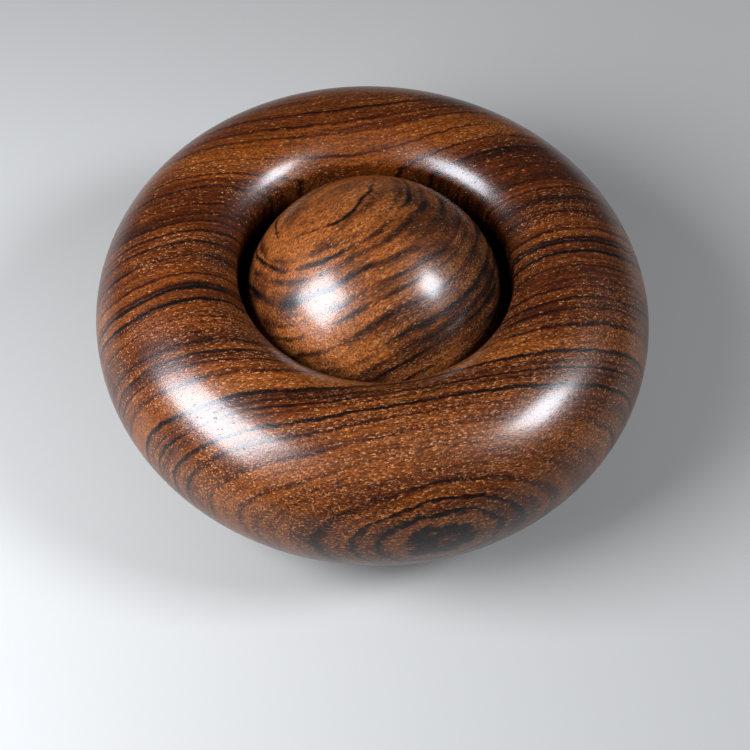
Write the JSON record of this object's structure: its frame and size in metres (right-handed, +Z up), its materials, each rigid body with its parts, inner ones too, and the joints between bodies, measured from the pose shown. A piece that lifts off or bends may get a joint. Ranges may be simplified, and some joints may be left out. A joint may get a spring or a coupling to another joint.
{
  "type": "dip pen holder",
  "caption": "Turned wooden desk holder for a dip pen: a loose ball stands in the well of a round ring, and its weight nips the pen's end against the ring's rounded lip.",
  "frame": {"origin": "centre of the underside, on the face that rests on the desk", "axes": "+Z up along the turning axis of the ring and the ball; the piece is round, so +X and +Y are free choices"},
  "size_m": [0.1, 0.1, 0.0486],
  "materials": {
    "ring_wood": "oiled figured rosewood, satin",
    "ball_wood": "oiled figured rosewood, satin",
    "foot_wood": "oiled dark rosewood, satin",
    "pad_leather": "plain dark leather, grain side down"
  },
  "bodies": {
    "stand": {"ring": "ring_wood", "seat_ring": "foot_wood", "base_pad": "pad_leather"},
    "ball": {"ball": "ball_wood"}
  },
  "joints": [
    {"name": "ball_lift", "type": "slide", "parent": "stand", "child": "ball", "axis": [0, 0, 1], "range_m": [0, 0.045]}
  ]
}
